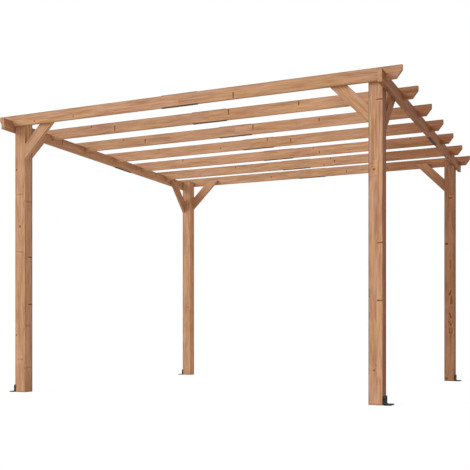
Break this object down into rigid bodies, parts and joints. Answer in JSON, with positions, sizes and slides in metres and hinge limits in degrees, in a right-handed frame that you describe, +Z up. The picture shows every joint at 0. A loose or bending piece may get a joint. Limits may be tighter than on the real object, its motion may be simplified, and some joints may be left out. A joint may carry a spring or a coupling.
{
  "type": "wooden pergola",
  "caption": "Free-standing open timber pergola: square posts with steel foot angles, side beams, notched rafters with undercut tails, splice plates and knee braces.",
  "frame": {"origin": "on the ground, in the middle of the plan between the four posts", "axes": "+X to the right along the rafters, +Y from the front to the back along the side beams, +Z up"},
  "size_m": [3.05, 3.05, 2.0725],
  "materials": {
    "timber": "planed softwood with a light brown stain, matt",
    "black_steel": "black powder coat, satin"
  },
  "bodies": {
    "root": {"post_front_left": "timber", "post_front_right": "timber", "post_back_left": "timber", "post_back_right": "timber", "beam_left_front": "timber", "beam_left_back": "timber", "beam_right_front": "timber", "beam_right_back": "timber", "rafter_1_left": "timber", "rafter_1_right": "timber", "rafter_2_left": "timber", "rafter_2_right": "timber", "rafter_3_left": "timber", "rafter_3_right": "timber", "rafter_4_left": "timber", "rafter_4_right": "timber", "rafter_5_left": "timber", "rafter_5_right": "timber", "rafter_6_left": "timber", "rafter_6_right": "timber", "rafter_7_left": "timber", "rafter_7_right": "timber", "brace_front_left_rafter": "timber", "brace_front_left_beam": "timber", "brace_front_right_rafter": "timber", "brace_front_right_beam": "timber", "brace_back_left_rafter": "timber", "brace_back_left_beam": "timber", "brace_back_right_rafter": "timber", "brace_back_right_beam": "timber", "foot_bracket_front_left": "black_steel", "foot_bracket_front_right": "black_steel", "foot_bracket_back_left": "black_steel", "foot_bracket_back_right": "black_steel", "rafter_1_splice_plates": "black_steel", "rafter_2_splice_plates": "black_steel", "rafter_3_splice_plates": "black_steel", "rafter_4_splice_plates": "black_steel", "rafter_5_splice_plates": "black_steel", "rafter_6_splice_plates": "black_steel", "rafter_7_splice_plates": "black_steel", "beam_left_splice_plates": "black_steel", "beam_right_splice_plates": "black_steel"}
  },
  "joints": []
}
